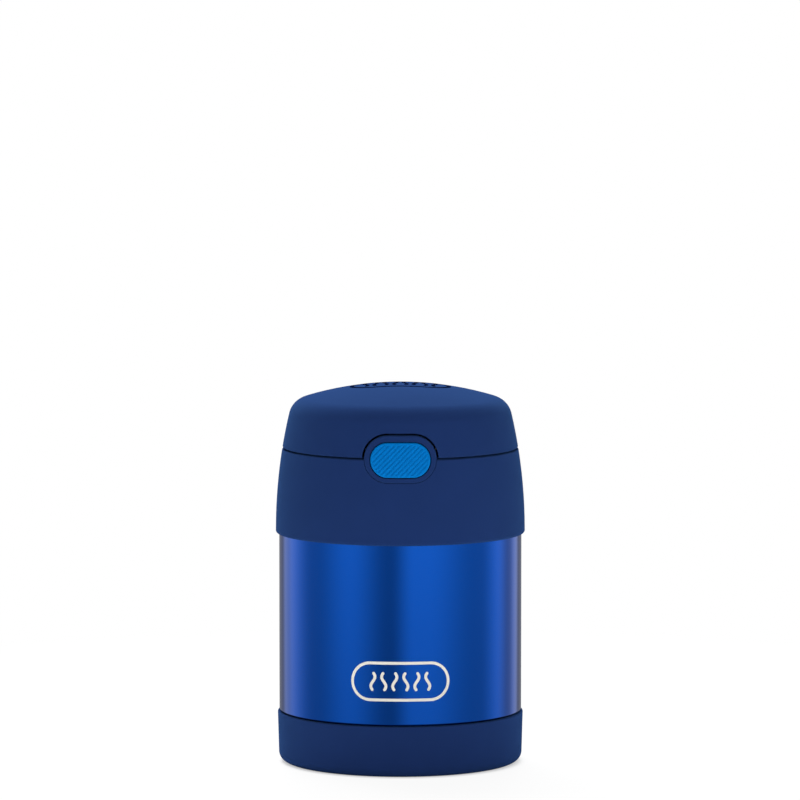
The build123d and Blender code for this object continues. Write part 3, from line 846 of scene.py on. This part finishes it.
handle_ends = (handle_low[0], handle_high[0])
handle_tip = 5.6                        # half width near the tip
handle_waist = 4.6
handle_corner = 0.8                     # rounding of its corners at the rivet
channel_depth = 0.35
channel_half_width = 1.7
channel_half_length = 25.0
channel_run_out = 5
strip_end_turn = 0.03                   # angles left out at the ends of the handle and the ears,
ear_end_turn = 0.02                     # so that their last rows keep a width
spoon_tone = (0.66, 0.66, 0.67, 1)


def dish():
    """Bowl of the spoon: outer surface, rounded rim, inner surface.

    At a share t of the way to the rim and an angle a: x = half length * t * cos a,
    y = half width * t * sin a * (1 - egg * cos a), z = rim - depth * (1 - t^2).
    """
    half = sheet / 2
    share = np.sin(np.linspace(0, pi / 2, 25))[1:]
    turn = np.linspace(0, pi, 9)[1:-1]
    sunk = 1 - share**2
    inset = np.concatenate([np.zeros(len(share)), half - half * np.cos(turn),
                            np.full(len(share), sheet)])
    reach = np.concatenate([share, np.ones(len(turn)), share[::-1]])
    below = np.concatenate([half + (bowl_depth - half) * sunk, half - half * np.sin(turn),
                            half + (bowl_depth - half - sheet) * sunk[::-1]])
    angle = np.linspace(0, 2 * pi, 160, endpoint=False)
    x = (bowl_half_length - inset)[:, None] * reach[:, None] * np.cos(angle)
    y = (bowl_half_width - inset)[:, None] * reach[:, None] * np.sin(angle)
    y = y * (1 - bowl_egg * np.cos(angle))
    z = np.broadcast_to((bowl_rim_z - below)[:, None], x.shape)
    return np.stack([bowl_middle + x, y, z], -1)


def strip(path, half_width, channel=0.0):
    """Sheet-metal strip along a path in the X-Z plane, with rounded edges across Y.

    Round its section: across = (w - r) * f + r * cos, through = (h - r) * g + r * sin, where f
    and g go from 1 to -1 and back, shifted along the path's normal by a channel of
    depth * exp(-(across / width)^2).
    """
    corner = np.radians([0, 30, 60, 90])
    flats = np.linspace(1, -1, 15)[1:-1]
    bend, flat = np.ones(len(corner)), np.ones(len(flats))
    f = np.concatenate([bend, flats, -bend, -bend, -flats, bend])
    g = np.concatenate([bend, flat, bend, -bend, -flat, -bend])
    turn = np.concatenate([corner, flat * pi / 2, corner + pi / 2, corner + pi,
                           flat * 1.5 * pi, corner + 1.5 * pi])
    ahead = np.gradient(path, axis=0)
    ahead /= np.linalg.norm(ahead, axis=1)[:, None]
    normal = np.stack([-ahead[:, 1], ahead[:, 0]], 1) * np.sign(ahead[0, 0] or 1)
    across = np.clip(half_width - sheet_edge, 0, None)[:, None] * f + sheet_edge * np.cos(turn)
    through = (sheet / 2 - sheet_edge) * g + sheet_edge * np.sin(turn)
    dip = np.reshape(channel, (-1, 1)) * np.exp(-(across / channel_half_width) ** 2)
    spots = path[:, None] + normal[:, None] * (through - dip)[..., None]
    return np.stack([spots[..., 0], across, spots[..., 1]], -1)


def curled_neck():
    """Neck of the bowl: an eased rise to the top of the eye, then three quarters of a turn."""
    reach = eye_radius - sheet / 2
    x = np.linspace(neck_start, pivot_x, 40)
    start_z = bowl_rim_z - sheet / 2
    rise = smooth((neck_start - x) / (neck_start - pivot_x))
    z = start_z + (pivot_z + reach - start_z) * rise
    turn = np.linspace(pi / 2, 2 * pi, 25)[1:]
    curl = np.stack([pivot_x + reach * np.cos(turn), pivot_z + reach * np.sin(turn)], 1)
    width = 2 * eye_half_length - eye_half_length * smooth((neck_start - x) / neck_taper)
    widths = np.concatenate([width, np.full(len(curl), eye_half_length)])
    return strip(np.vstack([np.stack([x, z], 1), curl]), widths)


def channelled_handle():
    """Handle: a waisted strip, square at the rivet and round at the tip, with a pressed channel.

    At a share s of its length, its half width has eased from the waist's to the tip's by
    1.6 s - 0.5, and at e from an end of rounding r it loses r - sqrt(r^2 - (r - e)^2). The
    channel eases out to nothing at its ends.
    """
    start, stop = handle_ends
    turn = np.linspace(strip_end_turn, pi - strip_end_turn, 120)
    x = (start + stop) / 2 - (stop - start) / 2 * np.cos(turn)
    along = (x - start) / (stop - start)
    width = handle_waist + (handle_tip - handle_waist) * smooth(along * 1.6 - 0.5)
    from_end = np.minimum(x - start, stop - x)
    rounding = np.where(along < 0.5, handle_corner, width)
    ends = np.clip(from_end, 0, rounding)
    width = width - rounding + np.sqrt(rounding**2 - (rounding - ends) ** 2)
    channel = channel_depth * smooth((channel_half_length - np.abs(x)) / channel_run_out)
    return strip(np.stack([x, np.full(len(x), handle_middle_z)], 1), width, channel)


def ears():
    """Two lugs that hang from the handle at the sides of the eye, round at the lower end.

    Their half width below the pivot is sqrt(radius^2 - (pivot - z)^2), and at least 0.1.
    """
    low, high = pivot_z - eye_radius, handle_middle_z
    z = high - (high - low) * np.sin(np.linspace(0, pi / 2 - ear_end_turn, 40))
    width = np.sqrt(np.clip(eye_radius**2 - np.clip(pivot_z - z, 0, None) ** 2, 0.01, None))
    lugs = []
    for side in (-1, 1):
        y = np.full(len(z), side * (eye_half_length + ear_gap + sheet / 2))
        lug = strip(np.stack([y, z], 1), width)
        lugs.append(lug[..., [1, 0, 2]] + (pivot_x, 0, 0))
    return np.stack(lugs)


pressed_steel = worked_steel("pressed_steel", spoon_tone, roughness=0.2, line=0.15,
                             stretch=(50, 1, 1))
spoon_pieces = (
    (skin("spoon_dish", dish(), poles=True), "spoon_bowl"),
    (skin("spoon_neck", curled_neck(), poles=True), None),
    (skin("spoon_strip", channelled_handle(), poles=True), "spoon_handle"),
    (skin("spoon_ears", ears(), poles=True), None),
)
for piece, node in spoon_pieces:
    pressed_steel.cover(piece)
    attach(piece, "lid")
    if node:
        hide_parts(node)
pressed_steel.cover(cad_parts["spoon_rivet"])


# ---- Cover ----
# Dome of navy plastic in two skins, snapped together, with the hinge's middle barrel on the
# outer one and the catch's tongue under the inner one.
for node in ("cover_shell", "cover_liner", "cover_catch"):
    navy_plastic.cover(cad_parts[node])


# ---- Mark on the dome ----
# The same frame and steam waves, pad-printed on top of the dome in near-black ink. Where the
# waves pass the very top, the ink thins out so that it isn't the highest thing on the jar.
dome_radius = 118.1
dome_top = span("cover_shell")[1][2]
mark_half_width = 17.4
mark_half_height = 8.7
mark_frame_stroke = 0.85                # half widths
mark_wave_stroke = 0.7
mark_wave_height = 5.6
mark_wave_swing = 0.6
mark_waves = 8
mark_spacing = 3.5
mark_sunk = 0.08
mark_proud = 0.04
ink_dark = (0.0015, 0.005, 0.024, 1)


def on_dome(bar):
    """Bar laid on the dome, a sphere: (u, -v, sqrt(R^2 - u^2 - v^2)), raised along its radius."""
    u, v = bar[..., 0], bar[..., 1]
    out = np.stack([u, -v, np.sqrt(dome_radius**2 - u**2 - v**2)], -1) / dome_radius
    height = -mark_sunk + (mark_sunk + mark_proud) * bar[..., 2]
    spots = out * (dome_radius + height)[..., None] + (0, 0, dome_top - dome_radius)
    spots[..., 2] = np.minimum(spots[..., 2], dome_top)
    return spots


dark_ink = moulded("dark_ink", ink_dark, roughness=0.5, grain=0.3, depth=0.002, gloss=0.0)
places = (np.arange(mark_waves) - (mark_waves - 1) / 2) * mark_spacing
mark_bar = stroke(pill(mark_half_width, mark_half_height), mark_frame_stroke, closed=True)
mark_rows = wave_bars(places, mark_wave_height, mark_wave_swing, mark_wave_stroke)
mark_frame = skin("mark_frame", on_dome(mark_bar), loop=True)
mark_steam = skin("mark_steam", on_dome(mark_rows), poles=True)
for piece in (mark_frame, mark_steam):
    dark_ink.cover(piece)
    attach(piece, "cover")
